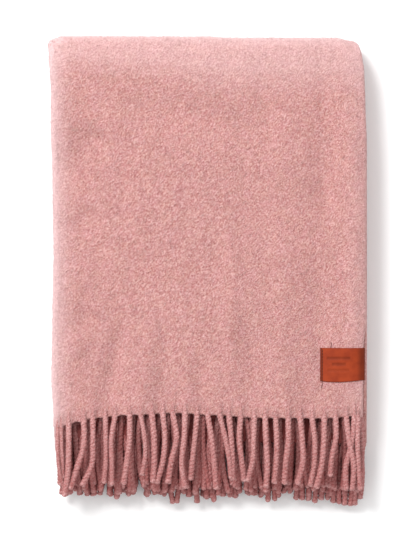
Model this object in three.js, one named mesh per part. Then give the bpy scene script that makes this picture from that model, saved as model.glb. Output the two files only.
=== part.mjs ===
// A brushed wool throw, folded in four across and in four along, with a twisted fringe at
// both ends and a leather label folded round its front selvedge. Millimetres. It lies flat:
// X runs to the right, Y towards the top fold, Z up from the floor to the front face.
import * as THREE from 'three';

// The cloth and its layers
const CLOTH_THICK = 2.2;
const LAYER_PITCH = 3.0;                       // layer to layer inside one packet of four
const PACKET_HALF = 1.5 * LAYER_PITCH + CLOTH_THICK / 2;
const PACKET_PITCH = 2 * PACKET_HALF + 1.0;    // packet to packet in the stack of four

// The folded outline
const LEFT_FOLD_X = -161.7;
const RIGHT_FOLD_X = 165.4;
const FRONT_SELVEDGE_X = 164.3;
const BACK_SELVEDGE_X = 163.5;
const TOP_FOLD_Y = 244.9;
const BOTTOM_FOLD_Y = -190;
const FRONT_HEM_Y = -150.3;
const BACK_HEM_Y = -175;
const TOP_FOLD_REACH = 30;                     // how far the soft top fold runs past its straight part
const INNER_FOLD_BACK = 14;                    // from the top fold's inner side to the fold inside it

// The fringes
const TASSELS_A_LAYER = 27;
const TASSEL_WIDTH = 6;
const FIRST_TASSEL_X = 155;
const LAST_TASSEL_X = -153;
const FRINGE_GAP = 0.42;                       // between a hem and its comb
const COMB_SPINE = 4;                          // height of the strip that the teeth share
const TASSEL_UNEVEN = 2.5;                     // how much longer or shorter a tassel may be
const UNEVEN_STEP = 2.4;                       // radians from one tassel's length to the next one's

// The label
const LABEL_LENGTH = 46.5;                     // from its sewn end to the selvedge
const LABEL_HEIGHT = 35;
const LABEL_TOP = 71;                          // above the front hem
const LABEL_THICK = 1.2;
const LABEL_CLEAR = 0.35;
const LABEL_LIFT = 1.4;                        // the front layer rides this much higher over the label's back
const LIFT_FADE = 45;

// Where the turns at the left and right begin, and how wide the front layer is up to there
const LEFT_TURN_X = LEFT_FOLD_X + PACKET_HALF;
const RIGHT_TURN_X = RIGHT_FOLD_X - LAYER_PITCH / 2 - CLOTH_THICK / 2;
const FRONT_RUN = FRONT_SELVEDGE_X - LEFT_TURN_X;

// How much lower each hem lies than its straight line, by the way along it from the front selvedge
const FRONT_HEM_DROP = [
  { along: 0, drop: 0 },
  { along: LABEL_LENGTH, drop: 2.5 },
  { along: 110, drop: 2 },
  { along: 160, drop: -1 },
  { along: 195, drop: -3 },
  { along: 250, drop: -1 },
  { along: 282, drop: 2 },
  { along: 300, drop: 6 },
  { along: FRONT_RUN, drop: 11 },
  { along: 400, drop: 8 },
  { along: 640, drop: 12 },
  { along: 960, drop: 9 },
  { along: 1300, drop: 10 },
];
const BACK_HEM_DROP = [
  { along: 0, drop: 0 },
  { along: 325, drop: -3 },
  { along: 400, drop: -2 },
  { along: 640, drop: 3 },
  { along: 980, drop: 0 },
  { along: 1300, drop: 2 },
];
const HEM_FADE = 60;

// Each fringe's reach from its hem, and its bend: from that far below the hem's straight line
// the tassels go down by the slope.
const FRONT_FRINGE = { drops: FRONT_HEM_DROP, reach: 73, bend: 33, slope: 0.2 };
const BACK_FRINGE = { drops: BACK_HEM_DROP, reach: 65.3, bend: 9, slope: 0.37 };

// The outline's shift to the left or right of straight sides, by height
const LEFT_SIDE = [
  { y: -250, shift: 4 },
  { y: -150, shift: 2 },
  { y: -110, shift: 0 },
  { y: -40, shift: 1 },
  { y: 12, shift: 2 },
  { y: 95, shift: 1 },
  { y: 157, shift: -1 },
  { y: 190, shift: -0.5 },
  { y: 222, shift: -3 },
  { y: 245, shift: -4.2 },
];
const RIGHT_SIDE = [
  { y: -250, shift: 0 },
  { y: 130, shift: 0 },
  { y: 178, shift: -1.5 },
  { y: 210, shift: -2.6 },
  { y: 224, shift: -4.7 },
  { y: 234, shift: -7 },
  { y: 240, shift: -11 },
  { y: 245, shift: -16 },
];
// How far the front selvedge draws in from the layers behind it
const SELVEDGE_INSET = [
  { y: -250, shift: 5 },
  { y: -80, shift: 3.6 },
  { y: -50, shift: 0.6 },
  { y: 245, shift: 0 },
];
const INSET_FADE = 70;
// The top edge's shift, by the place across
const TOP_EDGE = [
  { x: -175, shift: -6 },
  { x: -158, shift: -3 },
  { x: -148, shift: 0 },
  { x: 0, shift: -0.3 },
  { x: 20, shift: -1.6 },
  { x: 142, shift: -1.8 },
  { x: 156, shift: -4.5 },
  { x: 175, shift: -7 },
];
const TOP_FADE = 32;
// The stack's height as a share of its full height: fuller at the folded side
const HEIGHT_SHARE = [
  { x: -170, share: 1 },
  { x: -60, share: 0.985 },
  { x: 80, share: 0.965 },
  { x: 170, share: 0.93 },
];
// And by the place along: it slumps a little towards the top fold
const SLUMP = [
  { y: 150, share: 1 },
  { y: 250, share: 0.9 },
];

// The value in a table at a place, eased from one row to the next.
function read(table, key, value, at) {
  const next = table.findIndex((row) => row[key] >= at);
  if (next === 0) return table[0][value];
  if (next < 0) return table[table.length - 1][value];
  const [low, high] = [table[next - 1], table[next]];
  const share = THREE.MathUtils.smoothstep(at, low[key], high[key]);
  return low[value] + (high[value] - low[value]) * share;
}

// One direction's fold: straight runs back and forth, each joined to the next by a half turn.
// A run's stops are the distances from its start where the cloth may change direction a little,
// its reach is how far its turn bulges past its end, and its turn is made in that many steps.
// A station holds the place along, the height, the direction of travel and the length so far.
function foldPath(runs) {
  const stations = [];
  const add = (along, height, goAlong, goHeight) => {
    const last = stations[stations.length - 1];
    const step = last ? Math.hypot(along - last.along, height - last.height) : 0;
    const size = Math.hypot(goAlong, goHeight);
    stations.push({
      along,
      height,
      goAlong: goAlong / size,
      goHeight: goHeight / size,
      length: (last ? last.length : 0) + step,
    });
  };
  runs.forEach((run, i) => {
    const heading = Math.sign(run.to - run.from);
    for (const stop of [0, ...run.stops]) add(run.from + heading * stop, run.height, heading, 0);
    add(run.to, run.height, heading, 0);
    const next = runs[i + 1];
    if (!next) return;
    const rise = (next.height - run.height) / 2;
    for (let k = 1; k < run.turn; k++) {
      const angle = (Math.PI * k) / run.turn;
      add(
        run.to + heading * run.reach * Math.sin(angle),
        run.height + rise * (1 - Math.cos(angle)),
        heading * run.reach * Math.cos(angle),
        rise * Math.sin(angle),
      );
    }
  });
  return stations;
}

// Across: from the front selvedge round the left side to the back layer, then in and out again.
const layer = (number) => (2.5 - number) * LAYER_PITCH;
const outerReach = 1.5 * LAYER_PITCH;
const innerReach = 0.5 * LAYER_PITCH;
const allStops = FRONT_HEM_DROP.map((row) => row.along);
const frontStops = allStops.filter((stop) => stop > 0 && stop < FRONT_RUN);
const stops = [FRONT_RUN / 3, (FRONT_RUN * 2) / 3];
const [left, right] = [LEFT_TURN_X, RIGHT_TURN_X];
const ACROSS = foldPath([
  { from: FRONT_SELVEDGE_X, to: left, height: layer(1), stops: frontStops, reach: outerReach, turn: 4 },
  { from: left, to: right, height: layer(4), stops, reach: innerReach, turn: 4 },
  { from: right, to: left, height: layer(3), stops, reach: innerReach, turn: 3 },
  { from: left, to: BACK_SELVEDGE_X, height: layer(2), stops },
]);

// Along: from the front hem over the top fold to the back, then up inside it to the other hem.
const packet = (number) => PACKET_HALF + (4 - number) * PACKET_PITCH;
const topTurn = TOP_FOLD_Y - PACKET_HALF - TOP_FOLD_REACH;
const innerTurn = TOP_FOLD_Y - 2 * PACKET_HALF - INNER_FOLD_BACK - PACKET_PITCH / 2;
const bottomTurn = BOTTOM_FOLD_Y + PACKET_HALF + PACKET_PITCH / 2;
const smallReach = PACKET_PITCH / 2;
const frontRows = [LABEL_TOP - LABEL_HEIGHT, LABEL_TOP, 150, 250];
const backRows = [130, 260];
const ALONG = foldPath([
  { from: FRONT_HEM_Y, to: topTurn, height: packet(1), stops: frontRows, reach: TOP_FOLD_REACH, turn: 8 },
  { from: topTurn, to: bottomTurn, height: packet(4), stops: backRows, reach: smallReach, turn: 3 },
  { from: bottomTurn, to: innerTurn, height: packet(3), stops: backRows, reach: smallReach, turn: 3 },
  { from: innerTurn, to: BACK_HEM_Y, height: packet(2), stops: backRows },
]);
const CLOTH_WIDTH = ACROSS[ACROSS.length - 1].length;
const CLOTH_LENGTH = ALONG[ALONG.length - 1].length;

// From 1 at a place to 0 a distance away from it.
function fade(away, distance) {
  return 1 - THREE.MathUtils.smoothstep(Math.max(away, 0), 0, distance);
}

// The point of the folded cloth at one station across and one along, raised from its middle
// towards its outer side.
function clothPoint(across, along, raised) {
  const width = across.length;
  const length = along.length;
  let x = across.along + raised * across.goHeight;
  const inPacket = across.height - raised * across.goAlong;
  let y = along.along - inPacket * along.goHeight;
  let z = along.height + inPacket * along.goAlong;

  y -= read(FRONT_HEM_DROP, 'along', 'drop', width) * fade(length, HEM_FADE);
  y -= read(BACK_HEM_DROP, 'along', 'drop', width) * fade(CLOTH_LENGTH - length, HEM_FADE);
  y += read(TOP_EDGE, 'x', 'shift', x) * fade(TOP_FOLD_Y - y, TOP_FADE);

  const labelMiddle = LABEL_TOP - LABEL_HEIGHT / 2;
  const offLabel = Math.max(width - LABEL_LENGTH, Math.abs(length - labelMiddle) - LABEL_HEIGHT / 2);
  z += LABEL_LIFT * fade(offLabel, LIFT_FADE);
  z *= read(HEIGHT_SHARE, 'x', 'share', x) * read(SLUMP, 'y', 'share', y);

  const drawnIn = read(SELVEDGE_INSET, 'y', 'shift', y) * fade(width, INSET_FADE);
  const half = (RIGHT_FOLD_X - LEFT_FOLD_X) / 2;
  const toLeft = Math.max(-x / half, 0);
  const toRight = Math.max(x / half, 0);
  x += read(LEFT_SIDE, 'y', 'shift', y) * toLeft + read(RIGHT_SIDE, 'y', 'shift', y) * toRight;
  x -= drawnIn;
  return [x, y, z];
}

// A closed solid from a grid of cells: a filled cell has a face on both sides, and a wall
// wherever no filled cell is next to it.
function gridSolid(columns, rows, filled, point) {
  const positions = [];
  const index = [];
  const numbers = new Map();
  const corner = (i, j, side) => {
    const key = `${i} ${j} ${side}`;
    if (!numbers.has(key)) {
      numbers.set(key, positions.length / 3);
      positions.push(...point(i, j, side));
    }
    return numbers.get(key);
  };
  const face = (...corners) => {
    const [a, b, c, d] = corners.map(([i, j, side]) => corner(i, j, side));
    index.push(a, b, c, a, c, d);
  };
  const wall = (i, j, k, l) => face([i, j, 1], [k, l, 1], [k, l, -1], [i, j, -1]);
  const there = (i, j) => i >= 0 && j >= 0 && i < columns && j < rows && filled(i, j);
  for (let i = 0; i < columns; i++) {
    for (let j = 0; j < rows; j++) {
      if (!there(i, j)) continue;
      face([i, j, 1], [i, j + 1, 1], [i + 1, j + 1, 1], [i + 1, j, 1]);
      face([i, j, -1], [i + 1, j, -1], [i + 1, j + 1, -1], [i, j + 1, -1]);
      if (!there(i, j - 1)) wall(i, j, i + 1, j);
      if (!there(i, j + 1)) wall(i + 1, j + 1, i, j + 1);
      if (!there(i - 1, j)) wall(i, j + 1, i, j);
      if (!there(i + 1, j)) wall(i + 1, j, i + 1, j + 1);
    }
  }
  const geometry = new THREE.BufferGeometry();
  geometry.setAttribute('position', new THREE.Float32BufferAttribute(positions, 3));
  geometry.setIndex(index);
  geometry.computeVertexNormals();
  return geometry;
}

function piece(name, geometry, colour, roughness) {
  const material = new THREE.MeshStandardMaterial({ color: colour, roughness, metalness: 0 });
  const mesh = new THREE.Mesh(geometry, material);
  mesh.name = name;
  return mesh;
}

function cloth() {
  const point = (i, j, side) => clothPoint(ACROSS[i], ALONG[j], (side * CLOTH_THICK) / 2);
  return gridSolid(ACROSS.length - 1, ALONG.length - 1, () => true, point);
}

// The cloth's point at any length from the front selvedge, on the straight line between the
// stations on either side. Past the selvedge it goes straight on.
function pointAt(length, along, raised) {
  const found = ACROSS.findIndex((station) => station.length >= length);
  const next = Math.max(found < 0 ? ACROSS.length - 1 : found, 1);
  const [low, high] = [ACROSS[next - 1], ACROSS[next]];
  const share = (length - low.length) / (high.length - low.length);
  const [from, to] = [clothPoint(low, along, raised), clothPoint(high, along, raised)];
  return from.map((value, k) => value + (to[k] - value) * share);
}

// Where the tassels of all four layers lie, as lengths from the front selvedge.
function tasselPlaces() {
  const places = [];
  for (let number = 1; number <= 4; number++) {
    const start = ACROSS.find((station) => station.height === layer(number));
    const heading = start.goAlong;
    for (let k = 0; k < TASSELS_A_LAYER; k++) {
      const share = heading < 0 ? k : TASSELS_A_LAYER - 1 - k;
      const x = FIRST_TASSEL_X + ((LAST_TASSEL_X - FIRST_TASSEL_X) * share) / (TASSELS_A_LAYER - 1);
      places.push(start.length + (x - start.along) * heading);
    }
  }
  return places;
}

// A fringe as one comb: a narrow spine beside the hem, and a tooth for each tassel.
function fringe(hem, style) {
  const columns = [{ at: 0, tooth: false }];
  tasselPlaces().forEach((place, number) => {
    columns.push({ at: place - TASSEL_WIDTH / 2, tooth: true, number });
    columns.push({ at: place + TASSEL_WIDTH / 2, tooth: false });
  });
  const onTurns = ACROSS.filter((station) => station.goHeight !== 0);
  onTurns.forEach((station) => columns.push({ at: station.length, tooth: false }));
  columns.sort((a, b) => a.at - b.at);
  const edges = [...columns.map((column) => column.at), CLOTH_WIDTH];

  const outward = hem === ALONG[0] ? -1 : 1;
  const bendY = hem.along - style.bend;
  const point = (i, j, side) => {
    const tooth = columns[i]?.tooth ? columns[i] : columns[i - 1];
    const bend = style.bend - read(style.drops, 'along', 'drop', edges[i]);
    const uneven = TASSEL_UNEVEN * Math.sin(UNEVEN_STEP * (tooth?.number ?? 0));
    const out = [FRINGE_GAP, FRINGE_GAP + COMB_SPINE, bend, style.reach + uneven][j];
    const along = { ...hem, along: hem.along - out, length: hem.length + outward * out };
    const [x, y, z] = pointAt(edges[i], along, (outward * side * CLOTH_THICK) / 2);
    return [x, y, z - style.slope * Math.max(bendY - y, 0)];
  };
  const filled = (i, j) => j === 0 || columns[i].tooth;
  return gridSolid(columns.length, 3, filled, point);
}

// The label: a strip that follows the front layer, round its selvedge and back beneath it.
function label() {
  const raised = CLOTH_THICK / 2 + LABEL_CLEAR + LABEL_THICK / 2;
  const path = [];
  const frontSteps = 4;
  const turnSteps = 6;
  for (let k = frontSteps; k >= 0; k--) path.push({ in: (LABEL_LENGTH * k) / frontSteps, turn: 0 });
  for (let k = 1; k < turnSteps; k++) path.push({ in: 0, turn: (Math.PI * k) / turnSteps });
  for (let k = 0; k <= frontSteps; k++) path.push({ in: (LABEL_LENGTH * k) / frontSteps, turn: Math.PI });
  const heights = [LABEL_TOP, LABEL_TOP - LABEL_HEIGHT];
  const point = (i, j, side) => {
    const { in: inwards, turn } = path[i];
    const reach = raised + (side * LABEL_THICK) / 2;
    const along = { ...ALONG[0], along: FRONT_HEM_Y + heights[j], length: heights[j] };
    return pointAt(inwards - reach * Math.sin(turn), along, reach * Math.cos(turn));
  };
  return gridSolid(path.length - 1, heights.length - 1, () => true, point);
}

const foldedThrow = new THREE.Group();
foldedThrow.add(piece('throw_cloth', cloth(), '#d99f9b', 0.95));
foldedThrow.add(piece('fringe_front', fringe(ALONG[0], FRONT_FRINGE), '#c78884', 0.95));
foldedThrow.add(piece('fringe_back', fringe(ALONG[ALONG.length - 1], BACK_FRINGE), '#b87874', 0.95));
foldedThrow.add(piece('label', label(), '#af4a28', 0.55));

export default foldedThrow;
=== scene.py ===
import math

import bmesh
import bpy
import numpy as np
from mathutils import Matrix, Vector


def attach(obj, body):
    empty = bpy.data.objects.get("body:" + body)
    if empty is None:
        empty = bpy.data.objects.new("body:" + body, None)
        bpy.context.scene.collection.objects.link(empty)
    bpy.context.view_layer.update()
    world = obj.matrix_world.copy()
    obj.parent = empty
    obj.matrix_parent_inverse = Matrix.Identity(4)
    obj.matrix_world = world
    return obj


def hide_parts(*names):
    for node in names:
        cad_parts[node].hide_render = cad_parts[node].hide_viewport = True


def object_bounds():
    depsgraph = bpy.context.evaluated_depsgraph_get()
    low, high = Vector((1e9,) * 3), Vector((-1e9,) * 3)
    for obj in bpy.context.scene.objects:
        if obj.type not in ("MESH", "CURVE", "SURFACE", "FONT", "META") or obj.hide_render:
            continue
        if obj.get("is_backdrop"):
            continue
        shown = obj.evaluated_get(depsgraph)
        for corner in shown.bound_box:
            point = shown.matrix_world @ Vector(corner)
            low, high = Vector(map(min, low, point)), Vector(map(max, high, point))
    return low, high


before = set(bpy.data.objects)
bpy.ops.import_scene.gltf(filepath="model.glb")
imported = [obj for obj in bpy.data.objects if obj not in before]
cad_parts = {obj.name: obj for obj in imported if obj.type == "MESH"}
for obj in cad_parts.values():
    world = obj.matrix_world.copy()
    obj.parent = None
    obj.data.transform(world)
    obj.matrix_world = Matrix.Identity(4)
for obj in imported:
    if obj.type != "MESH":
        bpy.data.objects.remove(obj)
cad_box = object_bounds()

MM = 0.001

# The cloth and how it is folded
CLOTH_THICK = 2.5
CAD_CLOTH_THICK = 2.2  # of the solid whose folds these are
LAYER_PITCH = 3.0
PACKET_HALF = 1.5 * LAYER_PITCH + CAD_CLOTH_THICK / 2  # half of four layers
PACKET_PITCH = 2 * PACKET_HALF + 1.0
LEFT_FOLD_X = -161.7
RIGHT_FOLD_X = 165.4
FRONT_SELVEDGE_X = 164.3
BACK_SELVEDGE_X = 163.5
TOP_FOLD_Y = 244.9
BOTTOM_FOLD_Y = -190.0
FRONT_HEM_Y = -150.3
BACK_HEM_Y = -175.0
TOP_FOLD_REACH = 30.0  # how far the soft top fold runs past its straight part
INNER_FOLD_BACK = 14.0  # from the top fold's inner side to the fold inside it
TURN_STEPS = 24
RIM_BULGE = 1.0  # how far a selvedge or hem rounds out between the cloth's two faces

# How many cells each straight run and each turn is cut into, across and along the cloth
WIDTH_CELLS = [54, 6, 12, 4, 12, 4, 12]
LENGTH_CELLS = [60, 14, 12, 6, 12, 6, 12]
FINE_CUTS = 3  # more cuts in the edges of the cells that show in front
HEM_INNER_FINE = 20.0  # how far up these go behind the front hem
ROUNDING = 0.1  # of a length that has been in a mesh

# The label
LABEL_LENGTH = 46.5  # from its sewn end to the selvedge
LABEL_HEIGHT = 33.6
LABEL_TOP = 71.0  # above the front hem
LABEL_THICK = 1.3
LABEL_GAP = 0.1  # from the cloth
LABEL_LIFT = 1.4  # the front layer rides higher over the label's back half
LABEL_CLEAR = CLOTH_THICK / 2 + LABEL_GAP + LABEL_THICK / 2
LABEL_BEND = math.pi * LABEL_CLEAR  # its way round the selvedge
LABEL_BOW = 1.5  # of its lower edge
# Bars pressed into the label, a plain mark: (in from the sewn end, from the label's top, length,
# how far the pressing darkens it)
LABEL_MARKS = [(7.5, 10.6, 26.0, 0.34), (13.5, 16.6, 15.0, 0.34), (8.5, 22.6, 24.0, 0.16)]
MARK_WIDTH = 2.6
MARK_DEPTH = 0.35
SEAM_IN = 2.4  # from the sewn end to the stitches
SEAM_DEPTH = 0.3
STITCH_PITCH = 3.0
STITCH_LENGTH = 2.3
THREAD_RADIUS = 0.33
# The loose thread ends: (in from the selvedge, above the hem, above the cloth's middle)
THREAD_ENDS = [
    [(34.4, 70.0, 2.2), (34.7, 72.0, 2.2), (34.1, 74.5, 1.9), (34.8, 76.8, 2.0)],
    [(44.4, 36.5, 1.9), (44.2, 34.0, 2.0), (44.8, 32.0, 1.7), (44.6, 30.3, 1.8)],
]
THREAD_END_RADIUS = 0.3

# How many loose fibres stand off the front, off each fold and off each tassel. A real one is some
# 0.02 mm thick, too fine to show, so they are drawn as thick as they need to be.
NAP_HAIRS = 14500
EDGE_HAIRS = 2900
FRONT_TASSEL_HAIRS = 300
OUTLINE_TASSEL_HAIRS = 100
# The least and the most of their length and thickness
NAP_LENGTHS = (2.2, 5.5)
NAP_THICKNESS = (0.13, 0.24)
EDGE_LENGTHS = (1.4, 3.0)
EDGE_THICKNESS = (0.09, 0.15)
TASSEL_HAIR_LENGTHS = (1.0, 2.3)
TASSEL_HAIR_THICKNESS = (0.09, 0.16)
# And of the angle in degrees at which they stand off the cloth
NAP_LIFT = (4, 28)
FOLD_LIFT = (25, 75)
SELVEDGE_LIFT = (10, 60)
HAIR_LEAN = 58  # degrees up from the right, on average
HAIR_LEAN_SPREAD = 32
HAIRS_ROUND = 0.6  # how far round a fold they grow

# The tassels
TASSEL_RADIUS = 3.35
PLY_RADIUS = 2.46
TWIST_LENGTH = 7.6  # of one full turn of the two plies
HIDDEN_TWIST_LENGTH = 9.0  # and of a tassel behind the front row
TASSEL_PITCH = 11.85
TASSELS_A_LAYER = 27
FIRST_TASSEL_X = 155.0
LAST_TASSEL_X = -153.0
THIN_ROOT = 0.55  # how much thinner a ply is where it leaves the cloth
THIN_ROOT_LENGTH = 15.0
TIP_SWELL = 0.08
TIP_LENGTH = 6.0
BLUNT_LENGTH = 1.5  # over which the cut end rounds off
PLY_UNEVEN = 0.07
PLY_UNEVEN_SIZE = 6.0
# Painted shade: how far a ply is painted deeper on its lower side, except near its root, and down the tassel
SHADED_SIDE = 0.65
PALE_ROOT_LENGTH = 30.0
PAINTED_SHADE_DOWN = 0.42
PALE_TIP = 0.45  # how much paler the frayed tip is
# How pale the tassels at the throw's two sides stay at least, with less painted shade
SIDE_BRUSHING_AND_LIGHT = 0.85
SIDE_BRUSHING_AND_LIGHT_REACH = 12.0
# How a front tassel leaves the cloth: (above the hem, above the cloth's middle)
FRONT_ROOT = [(12.0, 0.1), (6.0, 0.3), (-1.0, 0.3)]
FRONT_ARCH = 0.8  # how high it rises over a straight fall
FRONT_FALL = 7.5  # from the hem to its end
UNDER_DIP = 1.3  # so that a hidden layer's tassels stay clear of the front layer above them
ROOTS_BETWEEN = (-156, 160)  # the sides of the hidden layers' outermost roots
# The hidden layers of the front hem: (layer, shift as a share of the pitch, fall, paleness, lower for deeper
# layers as painted shade)
UNDER_LAYERS = [(2, 0.42, 11, 0.8), (3, 0.9, 13, 0.72), (4, 0.3, 16, 0.64)]
# The back hem's layers above the lowest one: (layer, shift as a share of the pitch)
BACK_LAYERS = [(3, 0.5), (2, 0.1), (1, 0.7)]
BACK_FALL = 19.5
OUTLINE_FALL = 17
END_ROUNDING = 0.7  # how much a tassel's blunt end stays behind the end of its line
# How many rows and sides the plies' meshes have
FRONT_ROWS = 124
UNDER_ROWS = 66
OUTLINE_ROWS = 60
BACK_ROWS = 56
FRONT_SIDES = 8
HIDDEN_SIDES = 6

# How much lower each hem lies than a straight line: (way along it from its front selvedge, drop)
FRONT_HEM_DROP = [
    (0, 0), (46.5, 2.5), (110, 2), (160, -1), (195, -3), (250, -1), (282, 2), (300, 6),
    (320.4, 11), (400, 4), (640, -3), (960, -5), (1300, -4),
]
BACK_HEM_DROP = [(0, 0), (325, -3), (400, -2), (640, 3), (980, 0), (1300, 2)]
HEM_FADE = 60.0
# The outline's shift from straight sides: (y, shift to the right)
LEFT_SIDE = [
    (-250, 4), (-150, 2), (-110, 0), (-40, 1), (12, 2), (95, 1), (157, -1), (190, -0.5),
    (222, -3), (245, -4.2),
]
RIGHT_SIDE = [(-250, 0), (130, 0), (178, -1.5), (210, -2.6), (224, -4.7), (234, -7), (240, -11), (245, -16)]
# How far the front selvedge draws in from the layers behind it: (y, inset)
SELVEDGE_INSET = [(-250, 5), (-80, 3.6), (-50, 0.6), (245, 0)]
INSET_FADE = 70.0
# The top edge's shift: (x, shift)
TOP_EDGE = [(-175, -6), (-158, -3), (-148, 0), (0, -0.3), (20, -1.6), (148, -1.8), (158, -4.5), (175, -8)]
TOP_FADE = 32.0
# The stack's height as a share of its full height: (x, share) and (y, share)
HEIGHT_SHARE = [(-170, 1), (-60, 0.985), (80, 0.965), (152, 0.955), (167, 0.915)]
SLUMP = [(150, 1), (250, 0.9)]
LIFT_FADE = 45.0
STACK_HEIGHT = 47.8

# How far the nap opens, and a painted highlight pales the cloth, towards a fold or the front selvedge:
# (distance from its outline, share)
NAP_AND_HIGHLIGHT_AT_TOP = [(0, 0.75), (4, 0.44), (10, 0.31), (26, 0.27), (42, 0.13), (54, 0.02), (60, 0)]
NAP_AND_HIGHLIGHT_TOP_DEPTH = [(-165, 0.72), (-60, 0.85), (10, 1.12), (110, 1.16), (165, 1.05)]  # by x
NAP_AND_HIGHLIGHT_AT_LEFT = [(0, 0.9), (4, 0.62), (9, 0.3), (18, 0.1), (26, 0)]
NAP_AND_HIGHLIGHT_AT_RIGHT = [(0, 0.25), (4, 0.15), (12, 0.09), (26, 0)]
# Where the folds behind are painted deeper as the fringe's shade on them: wholly up to this far above the
# front hem, then fading out, and not at the throw's sides
HEM_SHADE_UP = 10.0
HEM_SHADE_REACH = 30.0
UNSHADED_RIM = 12.0

# Soft troughs (-) and ridges (+) in the front face, which fade in from their first end:
# (x, y) at both ends, half width, height
CREASES = [
    (-101, 178, 44, 150, 22, -5.6),
    (-112, 156, -130, 114, 20, -6.8),
    (-112, 66, -128, 50, 13, -3.4),
    (-112, -38, -130, -56, 13, -3.6),
    (119, 236, 122, 80, 14, -5.0),
    (119, 90, 112, -134, 15, -2.8),
    (76, 126, 77, -144, 14, 3.0),
    (25, 111, 25, -144, 10, 2.2),
    (-55, -30, -66, -144, 11, 3.6),
    (-84, -30, -107, -144, 10, -3.8),
    (-8, -80, -8, -144, 8, -2.6),
    (8, -86, 8, -144, 9, 2.4),
    (44, -20, 44, -144, 10, -1.8),
    (100, -86, 100, -144, 10, -2.4),
    (-105, -20, -137, -80, 10, 2.4),
    (152, 225, 153, -80, 15, 4.4),
]
CREASE_FADE = 0.5  # of its way
# Soft lumps of the front, and fine ones of its felted face: (height, size, seed)
SOFT_LUMPS = [(0.35, 52, 5), (0.1, 23, 6)]
FELT_LUMPS = [(0.14, 3.6, 11), (0.08, 9.5, 12)]
# Ripples that grow towards the front hem: (x, height at the hem)
HEM_RIPPLES = [
    (-165, 0), (-140, 0.3), (-122, -0.3), (-86, 0.5), (-51, -0.7), (-23, 0.5), (-8, -0.2),
    (6, 0.5), (34, -0.5), (60, 0.3), (92, -0.5), (122, 0.3), (146, -0.3), (165, 0.2),
]
RIPPLE_FADE = 130.0
# Over a cell of the hidden layers, the places to either side whose lowest one they go down to
HIDDEN_SHIFTS = (-27, -18, -9, 0, 9, 18, 27)
SIDE_REACH = 26.0  # this near the throw's sides they follow the front instead
# Where the front layer's own unevenness ends, before the left turn, and over what length
FRONT_END_BACK = 6.0
FRONT_END_FADE = 8.0
# How the cloth rises into each front tassel, and how its hem draws up between two of them
ROOT_RISE = 1.5
ROOT_LENGTH = 24.0
SCALLOP = 1.3
SCALLOP_FADE = 6.0

# The front tassels, left to right: x at the hem, a third and two thirds of the way down and at
# the end, y of the end, and thickness as a share of the usual one
FRONT_TASSELS = [
    (-155.5, -155.5, -154.0, -149.0, -225.0, 0.62),
    (-151.8, -151.3, -150.3, -149.2, -214.8, 0.66),
    (-144.0, -144.0, -145.0, -148.7, -233.5, 1.0),
    (-128.4, -128.4, -135.2, -143.0, -226.2, 1.0),
    (-119.0, -119.0, -120.1, -130.5, -223.0, 0.96),
    (-106.0, -105.6, -105.6, -107.6, -220.0, 0.92),
    (-96.2, -99.8, -99.3, -99.3, -222.0, 0.9),
    (-80.6, -80.9, -83.7, -87.4, -221.0, 1.0),
    (-69.2, -65.5, -64.7, -68.1, -211.6, 0.82),
    (-57.7, -55.6, -55.3, -56.7, -218.9, 1.05),
    (-46.3, -44.2, -46.3, -53.0, -220.0, 1.0),
    (-35.9, -32.2, -37.4, -41.1, -220.0, 1.04),
    (-23.4, -24.4, -26.8, -23.4, -225.2, 0.98),
    (-10.9, -13.0, -15.6, -17.7, -216.8, 0.94),
    (0.5, 4.5, 7.1, 8.8, -226.2, 1.0),
    (13.0, 18.2, 22.4, 24.4, -214.8, 0.9),
    (22.4, 24.4, 25.8, 26.0, -216.8, 0.98),
    (34.3, 32.8, 35.4, 38.0, -217.9, 0.96),
    (48.4, 47.8, 46.8, 41.6, -217.9, 1.0),
    (59.8, 60.8, 62.1, 60.8, -224.1, 1.02),
    (70.7, 71.8, 71.2, 69.2, -220.0, 0.95),
    (83.7, 83.7, 81.1, 79.6, -221.0, 1.0),
    (96.2, 98.3, 98.8, 93.1, -221.0, 1.04),
    (108.7, 111.3, 110.8, 106.6, -223.0, 0.96),
    (121.2, 120.6, 118.4, 112.8, -225.2, 1.0),
    (133.1, 133.1, 129.0, 127.4, -212.7, 0.94),
    (144.0, 147.2, 151.8, 150.3, -227.2, 1.0),
    (152.4, 149.8, 143.7, 144.0, -227.2, 0.96),
    (156.0, 155.5, 156.5, 158.6, -227.2, 0.92),
]
# The ends of the tassels that make the lower outline, left to right: (x, y)
BACK_ENDS = [
    (-148.2, -233.5), (-132.6, -232.4), (-120.1, -233.5), (-112.8, -232.4), (-102.4, -232.4),
    (-95.2, -236.6), (-82.7, -233.5), (-61.9, -232.4), (-50.4, -231.4), (-36.0, -241.5),
    (-32.6, -240.8), (-18.2, -230.4), (-10.9, -240.8), (-1.6, -236.6), (6.8, -239.7),
    (17.2, -230.4), (28.6, -235.6), (41.1, -231.4), (49.4, -232.4), (57.7, -232.4),
    (62.9, -239.7), (70.2, -238.7), (78.5, -230.4), (92.0, -237.6), (98.4, -237.6),
    (105.4, -238.2), (111.8, -240.8), (118.2, -237.6), (124.9, -237.6), (131.0, -240.8),
    (137.2, -241.8), (143.2, -243.2), (149.0, -243.9), (153.4, -243.2), (158.6, -236.6),
]
# Where the tassels part and the floor shows between their ends
PARTINGS = [-106.0, -70.5, 36.5, 149.5]
PARTING_HALF = 4.5
PARTING_RISE = 3.0
PARTING_PUSH = 3.2


def eased(rows, at):
    """The value of a table of (place, value) rows at each place, eased from row to row."""
    places, values = np.array(rows, float).T
    at = np.clip(at, places[0], places[-1])
    low = np.clip(np.searchsorted(places, at) - 1, 0, len(places) - 2)
    share = (at - places[low]) / (places[low + 1] - places[low])
    share = share * share * (3 - 2 * share)
    return values[low] + (values[low + 1] - values[low]) * share


def near(away, reach):
    """1 at a place, eased to 0 at a reach away from it."""
    share = np.clip(np.asarray(away, float) / reach, 0, 1)
    return 1 - share * share * (3 - 2 * share)


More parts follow.
